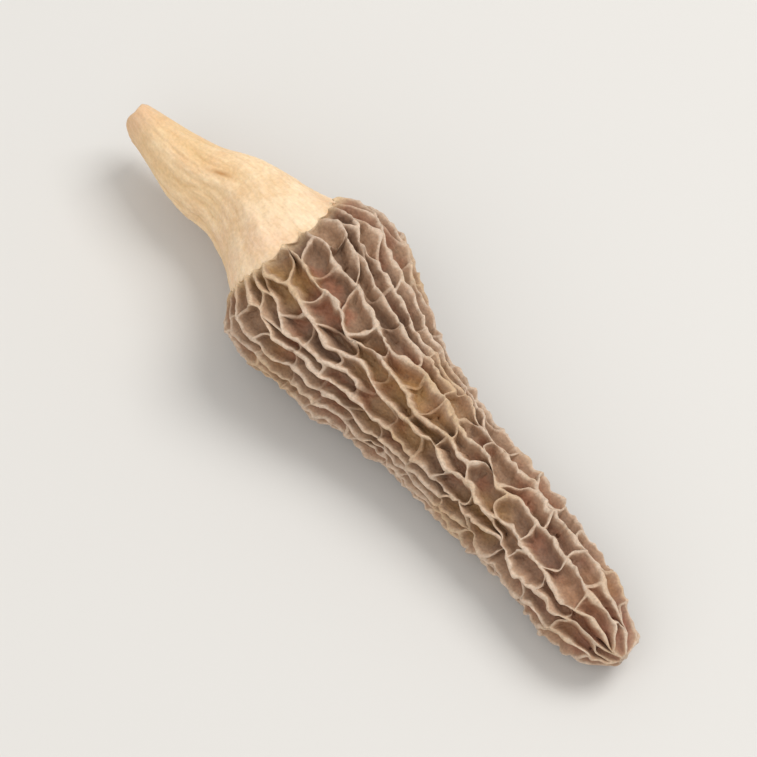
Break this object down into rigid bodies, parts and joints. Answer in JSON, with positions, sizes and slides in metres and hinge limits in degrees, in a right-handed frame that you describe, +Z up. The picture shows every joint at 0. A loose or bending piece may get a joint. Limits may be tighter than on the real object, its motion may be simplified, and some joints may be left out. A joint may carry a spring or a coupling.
{
  "type": "dried morel mushroom",
  "caption": "Dried conical morel lying on its side, with a brown cap of pits between raised ridges and a short cream stem pinched at its cut end.",
  "frame": {"origin": "on the surface that the mushroom rests on, under the middle of its bounding box", "axes": "+X along the mushroom from the cut end of the stem to the tip of the cap, +Z up"},
  "size_m": [0.073, 0.0198, 0.0145],
  "materials": {
    "cap": "matte dried mushroom skin, dark in the pits and pale on the ridges",
    "stem": "matte dried mushroom skin, cream, wrinkled lengthwise"
  },
  "bodies": {
    "root": {"cap": "cap", "stem": "stem"}
  },
  "joints": []
}
